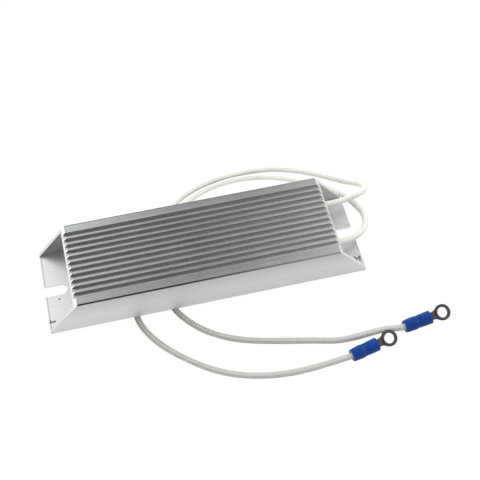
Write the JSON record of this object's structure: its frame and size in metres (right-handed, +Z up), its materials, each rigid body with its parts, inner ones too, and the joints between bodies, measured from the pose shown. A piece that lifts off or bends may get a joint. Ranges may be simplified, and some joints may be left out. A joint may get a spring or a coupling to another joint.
{
  "type": "aluminium housed power resistor",
  "caption": "Wirewound resistor in a finned aluminium extrusion with sloping cut ends and open mounting slots, on braided leads with ring terminals.",
  "frame": {"origin": "on the surface the part lies on, under the middle of the box of the housing; the housing leans by about 1.9 degrees because it lies on its own leads", "axes": "+X along the housing to the end where the leads come out, +Y across it away from the ring terminals, +Z up"},
  "size_m": [0.168, 0.1071, 0.0242],
  "materials": {
    "housing_aluminium": "natural anodised, satin, with fine extrusion lines along its length",
    "cement": "packed mineral filling, matt; stands in for a ceramic cement",
    "seal_cement": "white end cement, matt and slightly rough",
    "ceramic": "fired ceramic core, unglazed",
    "coated_winding": "resistance wire in a fired coat",
    "cap_metal": "pressed end cap",
    "stiff_wire": "tinned stiff wire",
    "ferrule_metal": "crimped ferrule",
    "strands": "tinned stranded conductor",
    "braided_sleeve": "braided glass fibre sleeve, white",
    "terminal_metal": "pressed ring terminal, dark from its plating",
    "terminal_sleeve": "blue insulating sleeve, half gloss"
  },
  "bodies": {
    "root": {"housing": "housing_aluminium", "cement_fill": "cement", "end_seal_left": "seal_cement", "end_seal_right": "seal_cement", "core_front": "ceramic", "core_back": "ceramic", "winding_front": "coated_winding", "winding_back": "coated_winding", "cap_front_left": "cap_metal", "cap_front_right": "cap_metal", "cap_back_left": "cap_metal", "cap_back_right": "cap_metal", "link_wire": "stiff_wire", "tail_wire_front": "stiff_wire", "tail_wire_back": "stiff_wire", "splice_front": "ferrule_metal", "splice_back": "ferrule_metal", "splice_strands_front": "strands", "splice_strands_back": "strands", "lead_front": "braided_sleeve", "lead_back": "braided_sleeve", "terminal_strands_front": "strands", "terminal_strands_back": "strands", "terminal_front": "terminal_metal", "terminal_back": "terminal_metal", "terminal_sleeve_front": "terminal_sleeve", "terminal_sleeve_back": "terminal_sleeve"}
  },
  "joints": []
}
